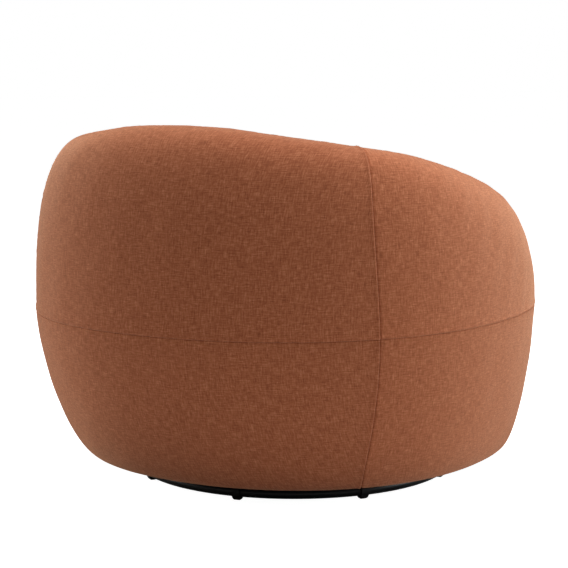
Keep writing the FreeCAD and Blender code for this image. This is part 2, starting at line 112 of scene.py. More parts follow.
def roundTube(name, path, radius, sides=10, flat=(0, 0, 1.0)):  # a closed tube along a loop of points
    ahead = unit(np.roll(path, -1, 0) - np.roll(path, 1, 0))
    first = unit(np.cross(ahead, flat))
    second = unit(np.cross(first, ahead))
    turns = np.linspace(0, fullTurn, sides, endpoint=False)
    across = np.cos(turns)[None, :, None] * first[:, None] + np.sin(turns)[None, :, None] * second[:, None]
    index = vertexGrid(len(path), sides)
    index = np.concatenate([index, index[:1]])
    index = np.concatenate([index, index[:, :1]], 1)
    run = np.cumsum(np.linalg.norm(path - np.roll(path, 1, 0), axis=1))
    uv = np.stack(np.broadcast_arrays(run[:, None], turns[None] * radius), -1)
    return newMesh(name, path[:, None] + radius * across, gridQuads(index), uv)


def finishPiece(obj, body, material, slotName, *nodes):
    obj.data.materials.clear()
    obj.data.materials.append(material)
    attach(obj, body)
    if nodes:
        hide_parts(*nodes)


# helpers for shader nodes

def newTree(name):
    material = bpy.data.materials.new(name)
    material.use_nodes = True
    tree = material.node_tree
    return material, tree, tree.nodes["Principled BSDF"]


def fill(tree, node, sockets):  # links what comes from a socket and sets the rest
    for key, value in sockets.items():
        if isinstance(value, bpy.types.NodeSocket):
            tree.links.new(value, node.inputs[key])
        else:
            node.inputs[key].default_value = value


def put(tree, kind, sockets=None, **settings):
    made = tree.nodes.new(kind)
    for key, value in settings.items():
        setattr(made, key, value)
    fill(tree, made, sockets or {})
    return made


def calc(tree, operation, *values):
    return put(tree, "ShaderNodeMath", dict(enumerate(values)), operation=operation).outputs[0]


def times(tree, socket, factor):
    return calc(tree, "MULTIPLY", socket, factor)


def plus(tree, one, other):
    return calc(tree, "ADD", one, other)


def noise(tree, place, scale, detail, roughness=0.5, dimensions="3D"):
    sockets = {"Vector": place, "Scale": scale, "Detail": detail, "Roughness": roughness}
    return put(tree, "ShaderNodeTexNoise", sockets, noise_dimensions=dimensions).outputs["Fac"]


def ramp(tree, socket, stops):
    made = put(tree, "ShaderNodeValToRGB", {"Fac": socket})
    for _ in range(len(stops) - 2):
        made.color_ramp.elements.new(0.5)
    for element, (place, colour) in zip(made.color_ramp.elements, stops):
        element.position = place
        element.color = (*colour, 1.0)
    return made.outputs["Color"]


def bumped(tree, height, strength, distance, **more):
    sockets = {"Height": height, "Strength": strength, "Distance": distance, **more}
    return put(tree, "ShaderNodeBump", sockets).outputs[0]


def plainWeave(tree, place, repeat):  # raised where a thread of one way crosses over one of the other
    parts = put(tree, "ShaderNodeSeparateXYZ", {0: place})
    across, along = (calc(tree, "SINE", times(tree, parts.outputs[k], fullTurn / repeat)) for k in (0, 1))
    return calc(tree, "MULTIPLY", across, along)


# linen of the cover

clothLook = {
    "darkThread": (0.240, 0.066, 0.026),
    "midThread": (0.372, 0.111, 0.047),
    "lightThread": (0.540, 0.204, 0.100),
    "darkBelow": 0.125, "lightAbove": 0.14,  # how far from the middle tone a thread is fully dark or light
    "threadPitch": 0.00115,                  # one warp or weft thread
    "slubLength": 0.012,
    "threads": [  # cells to a thread, cells to a slub, start of the pattern, runs the other way, share of the tone
        (0.8, 1.0, 3.0, False, 0.20), (0.8, 1.0, 11.0, True, 0.19),
        (0.44, 0.6, 23.0, False, 0.23), (0.44, 0.6, 31.0, True, 0.22)],
    "threadDetail": 2.0, "threadRoughness": 0.55,
    "flecks": [(330.0, 0.13), (26.0, 0.03)],  # scale and share of the tone
    "fleckDetail": 3.0, "fleckRoughness": 0.6,
    "weaveShare": 0.25, "fuzzShare": 0.3, "fuzzScale": 1500.0,
    "bump": 0.00035, "bumpStrength": 0.8,
    "sheen": 0.44,
    "sheenRoughness": 0.44,
    "sheenTint": (1.0, 0.66, 0.43, 1.0),
    "roughness": 0.92,
    "gloss": 0.18,
}


def linenMaterial(name, look, paintedLight=1.0, evenness=1.0):
    material, tree, shader = newTree(name)
    uv = put(tree, "ShaderNodeUVMap", uv_map="cloth").outputs[0]

    def threads(acrossScale, alongScale, start, otherWay):
        scale = (alongScale, acrossScale, 1) if otherWay else (acrossScale, alongScale, 1)
        place = (start, start * 1.7, start * 0.3)
        moved = put(tree, "ShaderNodeMapping", {"Vector": uv, "Scale": scale, "Location": place}).outputs[0]
        return noise(tree, moved, 1.0, look["threadDetail"], look["threadRoughness"], "2D")

    layers = [times(tree, threads(cells / look["threadPitch"], slubCells / look["slubLength"], start, otherWay), share)
              for cells, slubCells, start, otherWay, share in look["threads"]]
    layers += [times(tree, noise(tree, uv, scale, look["fleckDetail"], look["fleckRoughness"], "2D"), share)
               for scale, share in look["flecks"]]
    tone = layers[0]
    for layer in layers[1:]:
        tone = plus(tree, tone, layer)
    # every thread colour is scaled here by the painted-light factor, which paints the side panels lighter
    colour = ramp(tree, tone, [(0.5 - look["darkBelow"] * evenness, [c * paintedLight for c in look["darkThread"]]),
                               (0.5, [c * paintedLight for c in look["midThread"]]),
                               (0.5 + look["lightAbove"] * evenness, [c * paintedLight for c in look["lightThread"]])])
    weave = plainWeave(tree, uv, look["threadPitch"] * 2)
    height = plus(tree, times(tree, weave, look["weaveShare"]), tone)
    fuzz = noise(tree, uv, look["fuzzScale"], 2.0, dimensions="2D")
    height = plus(tree, height, times(tree, fuzz, look["fuzzShare"]))
    fill(tree, shader, {
        "Base Color": colour, "Normal": bumped(tree, height, look["bumpStrength"], look["bump"]),
        "Roughness": look["roughness"], "Specular IOR Level": look["gloss"], "Sheen Weight": look["sheen"],
        "Sheen Roughness": look["sheenRoughness"], "Sheen Tint": look["sheenTint"]})
    return material


linen = linenMaterial("terracotta_linen", clothLook)
# a copy of the linen for the sides, its colours painted lighter: painted light for the light the side panels catch,
# with its threads a little more uneven
sideLinenPaintedLighter = linenMaterial("terracotta_linen_painted_lighter", clothLook, paintedLight=1.08, evenness=1.06)

# hard materials, plywood and webbing

hardLook = {
    "grainDetail": 4.0, "grainBump": 0.0001, "bumpStrength": 0.35, "edgeRadius": 0.0009,
    "wearScale": 9.0, "wearDetail": 5.0,
    "darker": 0.8, "lighter": 1.25, "smoother": 0.85, "rougher": 1.2,  # what wear does to colour and roughness
    "finishes": {  # for each slot: name, colour, roughness, scale of the grain and metallic
        "black_steel": ("black_powder_coat", (0.006, 0.006, 0.007), 0.34, 900.0, 0.0),
        "zinc_steel": ("zinc_plate", (0.52, 0.52, 0.50), 0.38, 500.0, 1.0),
        "roller_steel": ("ground_steel", (0.62, 0.62, 0.63), 0.22, 1200.0, 1.0),
        "black_nylon": ("black_nylon", (0.006, 0.006, 0.007), 0.55, 1500.0, 0.0),
        "cage_plastic": ("natural_nylon", (0.60, 0.57, 0.50), 0.5, 700.0, 0.0),
    },
}


def hardMaterial(look, name, colour, roughness, grainScale, metallic):
    material, tree, shader = newTree(name)
    place = put(tree, "ShaderNodeTexCoord").outputs["Object"]
    grain = noise(tree, place, grainScale, look["grainDetail"])
    worn = noise(tree, place, look["wearScale"], look["wearDetail"])
    shade = ramp(tree, plus(tree, times(tree, grain, 0.5), times(tree, worn, 0.5)),
                 [(0.35, tuple(c * look["darker"] for c in colour)),
                  (0.65, tuple(min(1, c * look["lighter"]) for c in colour))])
    rough = put(tree, "ShaderNodeMapRange", {"Value": worn, "To Min": roughness * look["smoother"],
                                             "To Max": roughness * look["rougher"]}).outputs[0]
    edges = put(tree, "ShaderNodeBevel", {"Radius": look["edgeRadius"]}, samples=4).outputs[0]
    bump = bumped(tree, grain, look["bumpStrength"], look["grainBump"], Normal=edges)
    fill(tree, shader, {"Base Color": shade, "Roughness": rough, "Normal": bump, "Metallic": metallic})
    return material


plywoodLook = {
    "dark": (0.36, 0.22, 0.11), "light": (0.68, 0.49, 0.29),
    "grainScale": 4.0, "grainStretch": (4, 60, 60), "grainDetail": 6.0,
    "plyScale": 90.0, "plyDistortion": 0.4, "plyShare": 0.25,
    "bump": 0.0003, "bumpStrength": 0.4, "roughness": 0.7,
}


def plywoodMaterial(look):
    material, tree, shader = newTree("raw_plywood")
    place = put(tree, "ShaderNodeTexCoord").outputs["Object"]
    stretched = put(tree, "ShaderNodeMapping", {"Vector": place, "Scale": look["grainStretch"]}).outputs[0]
    grain = noise(tree, stretched, look["grainScale"], look["grainDetail"])
    bands = {"Vector": place, "Scale": look["plyScale"], "Distortion": look["plyDistortion"]}
    plies = put(tree, "ShaderNodeTexWave", bands, bands_direction="Z").outputs["Fac"]
    tone = plus(tree, times(tree, grain, 1 - look["plyShare"]), times(tree, plies, look["plyShare"]))
    shade = ramp(tree, tone, [(0.25, look["dark"]), (0.75, look["light"])])
    bump = bumped(tree, grain, look["bumpStrength"], look["bump"])
    fill(tree, shader, {"Base Color": shade, "Normal": bump, "Roughness": look["roughness"]})
    return material


wovenLook = {
    "fibreScale": 420.0, "fibreDetail": 4.0, "weaveShare": 0.18, "bump": 0.0004, "bumpStrength": 0.6, "roughness": 0.95,
    "kinds": {  # for each slot: name, dark colour, light colour and the weave's repeat
        "webbing": ("jute_webbing", (0.22, 0.16, 0.09), (0.55, 0.44, 0.29), 0.0025),
        "dust_cloth": ("black_dust_cloth", (0.006, 0.006, 0.007), (0.030, 0.030, 0.032), 0.0030),
    },
}


def wovenMaterial(look, name, dark, light, repeat):
    material, tree, shader = newTree(name)
    place = put(tree, "ShaderNodeTexCoord").outputs["Object"]
    weave = plainWeave(tree, place, repeat)
    fibre = noise(tree, place, look["fibreScale"], look["fibreDetail"])
    tone = plus(tree, times(tree, weave, look["weaveShare"]), fibre)
    shade = ramp(tree, tone, [(0.3, dark), (0.7, light)])
    bump = bumped(tree, tone, look["bumpStrength"], look["bump"])
    fill(tree, shader, {"Base Color": shade, "Normal": bump, "Roughness": look["roughness"]})
    return material


slotMaterials = {"upholstery": linen, "plywood": plywoodMaterial(plywoodLook)}
for slotName, finish in hardLook["finishes"].items():
    slotMaterials[slotName] = hardMaterial(hardLook, *finish)
for slotName, kind in wovenLook["kinds"].items():
    slotMaterials[slotName] = wovenMaterial(wovenLook, *kind)
for part in frame["record"]["subparts"]:
    cadNode = frame["nodes"][part["node"]]
    cadNode.data.materials.clear()
    cadNode.data.materials.append(slotMaterials[part["material_slot"]])
print("materials made")

# camera and stage

cameraPlace = {
    "turn": 32.0206, "distance": 3.6171, "height": 0.8512, "pitch": 7.425, "yaw": 0.316,
    "lens": 112.09, "sensor": 36.0, "farthest": 60.0,
}


def makeCamera(place):
    turn, pitch, yaw = (math.radians(place[k]) for k in ("turn", "pitch", "yaw"))
    toward = Vector((-math.sin(turn), math.cos(turn), 0))
    right = Vector((-math.cos(turn), -math.sin(turn), 0))
    ahead = -toward * math.cos(pitch) - Vector((0, 0, math.sin(pitch)))
    up = -toward * math.sin(pitch) + Vector((0, 0, math.cos(pitch)))
    side = right * math.cos(yaw) + ahead * math.sin(yaw)
    look = ahead * math.cos(yaw) - right * math.sin(yaw)
    data = bpy.data.cameras.new("photo_camera")
    data.lens, data.sensor_width, data.clip_end = place["lens"], place["sensor"], place["farthest"]
    obj = bpy.data.objects.new("photo_camera", data)
    bpy.context.scene.collection.objects.link(obj)
    axes = Matrix((side, up, -look)).transposed().to_4x4()
    obj.matrix_world = Matrix.Translation(toward * place["distance"] + Vector((0, 0, place["height"]))) @ axes
    bpy.context.scene.camera = obj
    return toward, right


towardCamera, cameraRight = makeCamera(cameraPlace)

studio = {
    "floorTone": 0.68, "floorSpeckle": 0.01, "floorGlow": 0.98,  # the glow is only for the camera
    "floorRadius": 30, "floorSides": 64, "floorRoughness": 0.9, "floorGloss": 0.1,
    "skyShown": 1.0, "skyLight": 0.03,
    "aimHeight": 0.4,
    "lights": [  # across the picture, toward the camera, up, size, watts, colour
        {"name": "key_right", "place": (3.4, -0.8, 1.15), "size": 2.4, "power": 56.0, "tint": (0.93, 1.0, 0.99)},
        {"name": "rim_left", "place": (-3.2, -1.2, 0.72), "size": 2.0, "power": 73.0, "tint": (1.0, 0.93, 0.84)},
        {"name": "top_soft", "place": (0.5, -0.3, 3.8), "size": 3.0, "power": 157.0, "tint": (1.0, 1.0, 1.0)},
        {"name": "front_high", "place": (0.0, 3.4, 3.2), "size": 3.0, "power": 36.0, "tint": (1.0, 1.0, 1.0)},
        {"name": "low_right", "place": (3.2, 0.4, 0.4), "size": 2.0, "power": 24.0, "tint": (0.94, 0.99, 1.0)},
    ],
}
white = (1, 1, 1, 1)


def seenAs(tree, light, shown, output):  # one shader for the camera and another for the light in the room
    path = put(tree, "ShaderNodeLightPath")
    mix = put(tree, "ShaderNodeMixShader", {0: path.outputs["Is Camera Ray"], 1: light, 2: shown})
    tree.links.new(mix.outputs[0], tree.nodes[output].inputs[0])


def makeFloor(look):
    material, tree, shader = newTree("pale_floor")
    speck = put(tree, "ShaderNodeTexNoise", {"Scale": 3.0, "Detail": 2.0}).outputs["Fac"]
    shade = ramp(tree, speck, [(0.3, (look["floorTone"] - look["floorSpeckle"],) * 3),
                               (0.7, (look["floorTone"] + look["floorSpeckle"],) * 3)])
    fill(tree, shader, {"Base Color": shade, "Roughness": look["floorRoughness"],
                        "Specular IOR Level": look["floorGloss"]})
    glow = put(tree, "ShaderNodeEmission", {"Color": white, "Strength": look["floorGlow"]})
    both = put(tree, "ShaderNodeAddShader", {0: shader.outputs[0], 1: glow.outputs[0]})
    seenAs(tree, shader.outputs[0], both.outputs[0], "Material Output")
    count, radius = look["floorSides"], look["floorRadius"]
    turns = [fullTurn * k / count for k in range(count)]
    floor = newMesh("floor", [(radius * math.cos(a), radius * math.sin(a), 0) for a in turns], [tuple(range(count))],
                    smooth=False)
    floor.data.materials.append(material)


def makeWorld(look):
    world = bpy.data.worlds.new("studio_white")
    bpy.context.scene.world = world
    world.use_nodes = True
    tree = world.node_tree
    shown = tree.nodes["Background"]
    fill(tree, shown, {"Strength": look["skyShown"], "Color": white})
    light = put(tree, "ShaderNodeBackground", {"Strength": look["skyLight"], "Color": white})
    seenAs(tree, light.outputs[0], shown.outputs[0], "World Output")


def makeLights(look):
    for lamp in look["lights"]:
        data = bpy.data.lights.new(lamp["name"], "AREA")
        data.shape, data.size, data.energy, data.color = "DISK", lamp["size"], lamp["power"], lamp["tint"]
        obj = bpy.data.objects.new(lamp["name"], data)
        bpy.context.scene.collection.objects.link(obj)
        across, near, up = lamp["place"]
        obj.location = cameraRight * across + towardCamera * near + Vector((0, 0, up))
        obj.rotation_mode = "QUATERNION"
        obj.rotation_quaternion = (Vector((0, 0, look["aimHeight"])) - obj.location).to_track_quat("-Z", "Y")


makeFloor(studio)
makeWorld(studio)
makeLights(studio)
bpy.context.scene.view_settings.view_transform = "Standard"
print("camera and stage made")

# the shell's form, in metres, with turns counted from the middle of the back

shell = {
    "halfWidth": 0.4848, "shift": 0.0352, "back": 0.5003, "front": 0.555, "power": 2.156,  # round the widest line
    "innerHalf": 0.305, "innerBack": 0.335, "innerFront": 0.33, "innerPower": 3.2,
    "innerSweep": 50, "innerPast": 1.2,  # degrees from beside the seat to the arm's end, and how far past it
    "seam": 0.345, "bottom": 0.047,
    "footInset": 0.0765, "footPower": 2.151, "footShift": 0.053, "footFullness": 1.5,
    "ridgeShare": 0.674, "ridgeFullness": 2.545,
    "ridgeTurns": [0, 10, 20, 30, 40, 50, 60, 70, 80, 85, 88, 90, 92, 95, 100, 105, 110, 115, 120, 130],
    "ridgeHeights": [0.72, 0.7167, 0.7092, 0.7018, 0.6945, 0.6863, 0.6778, 0.6682, 0.6524, 0.6426, 0.6355,
                     0.6272, 0.6217, 0.6134, 0.598, 0.5795, 0.5536, 0.5198, 0.4855, 0.4357],
    "deckHalf": 0.299, "deckBack": 0.225, "deckFarthest": 0.48,
    "backWall": 0.186, "roundShare": 0.32,  # the wall's thickness behind, and how much of it the ridge rounds
    "padThickness": 0.014,
    "gap": 0.0004,
    "step": 0.0055,
    "seamRows": [0, 0.0004, 0.001, 0.0018, 0.0028, 0.004, 0.0058, 0.008, 0.011, 0.015],
}


def signedPower(v, p):
    return np.sign(v) * np.abs(v) ** p


def girth(turn, inset=0.0, power=shell["power"], shift=0.0):
    s, c = np.sin(turn), np.cos(turn)
    reach = np.where(c > 0, shell["back"], shell["front"]) - inset
    x = -(shell["halfWidth"] - inset) * signedPower(s, 2 / power)
    y = shell["shift"] - shift + reach * signedPower(c, 2 / power)
    return x, y


def innerLine(turn):
    half, power = shell["innerHalf"], shell["innerPower"]
    t = np.clip((np.abs(turn) - quarterTurn) / math.radians(shell["innerSweep"]), 0, shell["innerPast"])
    behind = np.abs(turn) <= quarterTurn
    x = np.where(behind, -half * signedPower(np.sin(turn), 2 / power), -np.sign(turn) * half)
    y = np.where(behind, shell["innerBack"] * np.abs(np.cos(turn)) ** (2 / power),
                 -shell["innerFront"] * np.sin(t * quarterTurn))
    return x, y


def ridgeHeight(turn):
    return hermite(shell["ridgeTurns"], shell["ridgeHeights"], np.degrees(turn))


def headingAt(turn):  # a point of the girth, the way from it to the inner line, and how far that is
    cx, cy = girth(turn)
    ix, iy = innerLine(turn)
    h = np.stack([ix - cx, iy - cy], -1)
    wide = np.linalg.norm(h, axis=-1)
    return cx, cy, h[..., 0] / wide, h[..., 1] / wide, wide


def upperOuter(turn, rise):  # rise 0 at the seam, 1 at the ridge
    cx, cy, hx, hy, wide = headingAt(turn)
    a = rise * quarterTurn
    q = shell["ridgeShare"] * wide * (1 - np.cos(a) ** (2 / shell["ridgeFullness"]))
    z = shell["seam"] + (ridgeHeight(turn) - shell["seam"]) * np.sin(a) ** (2 / shell["ridgeFullness"])
    return np.stack([cx + hx * q, cy + hy * q, z], -1)


def lowerOuter(turn, fall):  # fall 0 at the seam, 1 at the bottom
    a = fall * quarterTurn
    inward = 1 - np.cos(a) ** (2 / shell["footFullness"])
    z = shell["seam"] - (shell["seam"] - shell["bottom"]) * np.sin(a) ** (2 / shell["footFullness"])
    power = shell["power"] + (shell["footPower"] - shell["power"]) * inward
    x, y = girth(turn, shell["footInset"] * inward, power, shell["footShift"] * inward)
    return np.stack([x, y, z], -1)


def deckReach(turn, halvings=30):  # how far the girth is from the inner face at deck height
    cx, cy, hx, hy, _ = headingAt(turn)
    power = shell["innerPower"]
    near, far = np.zeros_like(turn), np.full_like(turn, shell["deckFarthest"])
    for _ in range(halvings):
        mid = (near + far) / 2
        x, y = cx + hx * mid, np.maximum(cy + hy * mid, 0)
        outside = (np.abs(x) / shell["deckHalf"]) ** power + (y / shell["deckBack"]) ** power > 1
        near, far = np.where(outside, mid, near), np.where(outside, far, mid)
    return far


def wallRound(turn):
    cx, cy = girth(turn)
    return shell["roundShare"] * np.where(cy < shell["shift"], np.abs(cx) - shell["deckHalf"], shell["backWall"])


def innerFace(turn, fall):  # fall 0 at the ridge, 1 at the deck: an arc over the ridge, then a straight line
    cx, cy, hx, hy, wide = headingAt(turn)
    radius = wallRound(turn)
    reach = deckReach(turn)
    inset = shell["ridgeShare"] * wide + shell["gap"]
    top = ridgeHeight(turn)
    drop = top - radius - shell["seam"]
    across = reach - inset
    slope = np.arccos(np.clip(radius / np.hypot(across, drop), -1, 1)) - np.arctan2(drop, across)
    arc = radius * (quarterTurn - slope)
    startX, startZ = inset + radius * np.cos(slope), top - radius + radius * np.sin(slope)
    line = np.hypot(reach - startX, startZ - shell["seam"])
    run = fall * (arc + line)
    angle = quarterTurn - np.minimum(run, arc) / radius
    along = np.maximum(run - arc, 0) / np.maximum(line, 1e-9)
    q = inset + radius * np.cos(angle) + (reach - startX) * along
    z = top - radius + radius * np.sin(angle) - (startZ - shell["seam"]) * along
    return np.stack([cx + hx * q, cy + hy * q, z], -1)


def spread(length, step):  # rows close together at both seams, then even
    edge = shell["seamRows"]
    count = max(2, round((length - 2 * edge[-1]) / step))
    middle = np.linspace(edge[-1], length - edge[-1], count + 1)[1:-1]
    return np.concatenate([edge, middle, length - np.array(edge[::-1])]) / length


def runs(grid, axis):  # distance from both ends along rows or columns
    steps = np.linalg.norm(np.diff(grid, axis=axis), axis=-1)
    begin = np.concatenate([np.zeros_like(np.take(steps, [0], axis)), np.cumsum(steps, axis)], axis)
    return begin, np.take(begin, [-1], axis) - begin


# cloth panels of the shell

folded, sewn, joined = 0, 1, 2  # an edge is turned under, a seam with puckers, or a flat join

panelLook = {
    "uprightRoll": 0.0046,    # cloth turning into a seam
    "levelRoll": 0.0023,
    "joinRoll": 0.0003,       # where a panel runs on into the arm's end
    "pucker": 0.00055,
    "puckerStart": 0.003,
    "puckerReach": 0.016,
    "puckerPitch": 0.017,
    "puckerStretch": 0.25,
    "wave": 0.0004,           # slack in the cover, over a hand's width
    "wavePitch": 0.11,
    "waveStart": 0.03,
    "crease": 0.0012,         # short drag lines where the cloth is pulled over the ridge
    "creaseHalf": 0.0045,
    "press": 0.0016,          # lift of the pressed side of a seam
    "pressReach": 0.0056,
    "clothStart": (0.37, 0.53),  # times the seed, so that no two panels are cut from the same place
    "measured": (61, 41),     # points at which a panel's width and height are taken
}


def edgeRoll(radius, away):  # how deep the cloth turns in near its edge
    return radius - np.sqrt(np.maximum(radius * radius - np.maximum(radius - away, 0) ** 2, 0))


def panelRelief(look, ways, kinds, pressed, creases, seed):  # how far the cloth stands off its form
    left, _, low, high = ways
    wavePhase = fullTurn / look["wavePitch"]
    wave = look["wave"] * softNoise(left * wavePhase, low * wavePhase, seed)
    calm, roll, lift = np.ones_like(left), np.zeros_like(left), wave
    rolls = [look["uprightRoll"]] * 2 + [look["levelRoll"]] * 2
    for away, along, radius, kind, press in zip(ways, (low, low, left, left), rolls, kinds, pressed):
        calm *= 1 - np.exp(-away / look["waveStart"])
        roll = np.maximum(roll, edgeRoll(look["joinRoll"] if kind == joined else radius, away))
        if kind == sewn:
            puckerPhase = fullTurn / look["puckerPitch"]
            ruck = softNoise(along * puckerPhase, away * puckerPhase * look["puckerStretch"], seed + 5)
            fade = (1 - np.exp(-away / look["puckerStart"])) * np.exp(-away / look["puckerReach"])
            lift = lift + look["pucker"] * ruck * fade
            lift = lift + press * look["press"] * np.exp(-(away / look["pressReach"]) ** 2)
    for across, down, lean, long in creases:
        alongIt = (left - across) * math.cos(lean) + (high - down) * math.sin(lean)
        awayFromIt = (high - down) * math.cos(lean) - (left - across) * math.sin(lean)
        lift = lift - look["crease"] * np.exp(-((alongIt / long) ** 2) - (awayFromIt / look["creaseHalf"]) ** 2)
    return lift - wave * (1 - calm) - roll


def clothPanel(name, form, kinds, body, seed, nodes, pressed=(0, 0, 0, 0), flip=False, material=linen,
               plumbLine=0.5, creases=()):
    # form(u, w) gives points over the unit square, and kinds says what its left, right, low and high edges are
    coarse = form(*np.meshgrid(*(np.linspace(0, 1, count) for count in panelLook["measured"]), indexing="ij"))
    wide = runs(coarse, 0)[0][-1].max()
    tall = runs(coarse, 1)[0][:, -1].max()
    u, w = np.meshgrid(spread(wide, shell["step"]), spread(tall, shell["step"]), indexing="ij")
    base = form(u, w)
    normal = unit(np.cross(np.gradient(base, axis=0), np.gradient(base, axis=1))) * (-1 if flip else 1)
    ways = [*runs(base, 0), *runs(base, 1)]
    outer = base + normal * panelRelief(panelLook, ways, kinds, pressed, creases, seed)[..., None]
    backing = base - normal * shell["padThickness"]
    verts = np.concatenate([outer.reshape(-1, 3), backing.reshape(-1, 3)])
    faces = slabFaces(*u.shape)
    if flip:
        faces = faces[:, ::-1]
    left, low = ways[0], ways[2]
    plumb = left[int(round(plumbLine * (len(u) - 1)))]  # the line of threads that hangs plumb
    startU, startV = panelLook["clothStart"]
    uv = np.stack([left - plumb + seed * startU, low + seed * startV], -1).reshape(-1, 2)
    obj = newMesh(name, verts, faces, np.concatenate([uv, uv]))
    finishPiece(obj, body, material, "upholstery", *nodes)


seams = {  # turn of the upright seam at heights from the bottom to the ridge, in degrees
    "heights": [0.047, 0.117, 0.154, 0.203, 0.261, 0.308, 0.345, 0.381, 0.417, 0.470, 0.523, 0.567, 0.602, 0.645, 0.68],
    "turns": [49.2, 50.8, 51.7, 52.6, 53.35, 53.6, 53.65, 53.55, 53.3, 52.95, 52.7, 52.65, 52.8, 53.2, 53.6],
    "readAt": 50.0,  # where the form's height is read to follow the seam
    "armEnd": 130.0,
    # drag lines on the side: across from the seam, down from the ridge, lean and length
    "dragLines": [(0.118, 0.030, 0.9, 0.016), (0.136, 0.034, 0.85, 0.020), (0.154, 0.040, 0.8, 0.015)],
}


def seamTurn(z):
    return np.radians(np.interp(z, seams["heights"], seams["turns"]))


def between(begin, end, form, heightOf, sign=1):  # part of a form from one upright line to another
    # each line is "seam", "otherSeam" or a turn in degrees
    def turnOf(line, z):
        if line == "seam":
            return sign * seamTurn(z)
        if line == "otherSeam":
            return -sign * seamTurn(z)
        return np.full_like(z, math.radians(line) * sign)

    def surface(u, w):
        z = heightOf(np.full_like(u, math.radians(seams["readAt"]) * sign), w)
        first, last = turnOf(begin, z), turnOf(end, z)
        return form(first + (last - first) * u, w)
    return surface


def upperZ(turn, rise):
    return upperOuter(turn, rise)[..., 2]


def lowerZ(turn, fall):
    return lowerOuter(turn, fall)[..., 2]


clothPanel("back_upper_cover", between("otherSeam", "seam", upperOuter, upperZ), (sewn, sewn, sewn, sewn), "seat", 1,
           ["outer_back_upper"], pressed=(1.6, 1.6, 1, 0))
clothPanel("back_lower_cover", between("otherSeam", "seam", lowerOuter, lowerZ), (sewn, sewn, sewn, folded), "seat", 2,
           ["outer_back_lower"], pressed=(1.6, 1.6, 0, 0), flip=True)
for side, sign in (("right", 1), ("left", -1)):
    turned = sign < 0
    clothPanel("side_upper_cover_" + side, between("seam", seams["armEnd"], upperOuter, upperZ, sign),
               (sewn, joined, sewn, sewn), "seat", 3 + sign, ["outer_side_upper_" + side], pressed=(0, 0, 1, 0),
               flip=turned, material=sideLinenPaintedLighter, plumbLine=0.1, creases=seams["dragLines"])
    clothPanel("side_lower_cover_" + side, between("seam", seams["armEnd"], lowerOuter, lowerZ, sign),
               (sewn, sewn, sewn, folded), "seat", 7 + sign, ["outer_side_lower_" + side],
               flip=not turned, material=sideLinenPaintedLighter, plumbLine=0.1)
    clothPanel("inner_arm_cover_" + side, between("seam", seams["armEnd"], innerFace, upperZ, sign),
               (sewn, joined, sewn, folded), "seat", 11 + sign, ["inner_arm_pad_" + side], flip=turned)
clothPanel("inner_back_cover", between("otherSeam", "seam", innerFace, upperZ), (sewn, sewn, sewn, folded), "seat", 14,
           ["inner_back_pad"])
print("shell covers made")

# arm noses, rounded forward from the arm's end

noseLook = {
    "length": 0.044, "fullness": 0.72, "rows": 26, "outerPoints": 70, "innerPoints": 60,
    "centreShare": 0.68,  # where the nose closes, between the girth and the deck
    "smallest": 0.02,
    "lookAhead": 0.002,   # a small turn that shows which way the panels head
}


def armNose(side, sign, look):
    turn = math.radians(seams["armEnd"]) * sign
    rim, heading = [], []
    for form, places in ((upperOuter, np.sin(np.linspace(0, 1, look["outerPoints"]) * quarterTurn)),
                         (innerFace, np.linspace(0, 1, look["innerPoints"])[1:])):
        here = form(np.full_like(places, turn), places)
        ahead = form(np.full_like(places, turn + sign * look["lookAhead"]), places)
        rim.append(here)
        heading.append(unit(ahead - here))
    rim, heading = np.concatenate(rim), np.concatenate(heading)
    base = rim[0] + (rim[-1] - rim[0]) * look["centreShare"]
    forward = np.array([0, -1.0, 0])
    rows = [rim]
    for k in range(1, look["rows"] + 1):  # runs on from the panels, then closes
        a = k / look["rows"] * quarterTurn
        size = max(math.cos(a), look["smallest"]) ** look["fullness"]
        onward = heading * math.cos(a) + forward * (1 - math.cos(a))
        rows.append(base + (rim - base) * size + onward * look["length"] * math.sin(a))
    grid = np.array(rows)
    away = np.linalg.norm(np.cumsum(np.diff(grid, axis=0, prepend=grid[:1]), axis=0), axis=-1)
    normal = unit(np.cross(np.gradient(grid, axis=1), np.gradient(grid, axis=0))) * sign
    grid = grid - normal * edgeRoll(panelLook["joinRoll"], away)[..., None]
    backCentre = base + (rim.mean(0) - base) * 0.5
    frontCentre = base + forward * look["length"]
    verts = np.concatenate([grid.reshape(-1, 3), [backCentre], [frontCentre]])
    back, front = len(verts) - 2, len(verts) - 1
    index = vertexGrid(len(rows), len(rim))
    closed = np.concatenate([index, index[:, :1]], 1)
    faces = [tuple(q) for q in gridQuads(closed)[:, [0, 3, 2, 1]]]
    faces += [(back, b, a) for a, b in zip(closed[0, :-1], closed[0, 1:])]
    faces += [(front, a, b) for a, b in zip(closed[-1, :-1], closed[-1, 1:])]
    if sign > 0:
        faces = [f[::-1] for f in faces]
    uv = np.stack([np.broadcast_to(wayAlong(rim), away.shape), away], -1).reshape(-1, 2)
    obj = newMesh("arm_nose_cover_" + side, verts, faces, np.concatenate([uv, uv[:2]]))
    finishPiece(obj, "seat", linen, "upholstery", "arm_nose_" + side)


armNose("right", 1, noseLook)
armNose("left", -1, noseLook)

# front band under the cushion, and the deck's cloth folded down over its top

frontEdge = {"drop": 0.0026, "wide": 0.0155, "foldRows": 10, "count": 140, "gap": 0.0002, "endGap": 0.001}


def frontBand(u, w):
    begin, end = math.radians(seams["armEnd"]), math.radians(360 - seams["armEnd"])
    share = frontEdge["drop"] / (shell["seam"] - shell["bottom"])
    start = math.asin(share ** (shell["footFullness"] / 2)) / quarterTurn
    return lowerOuter(begin + (end - begin) * u, start + (1 - start) * w)


clothPanel("front_band_cover", frontBand, (sewn, sewn, sewn, folded), "seat", 21, ["front_band"], flip=True)


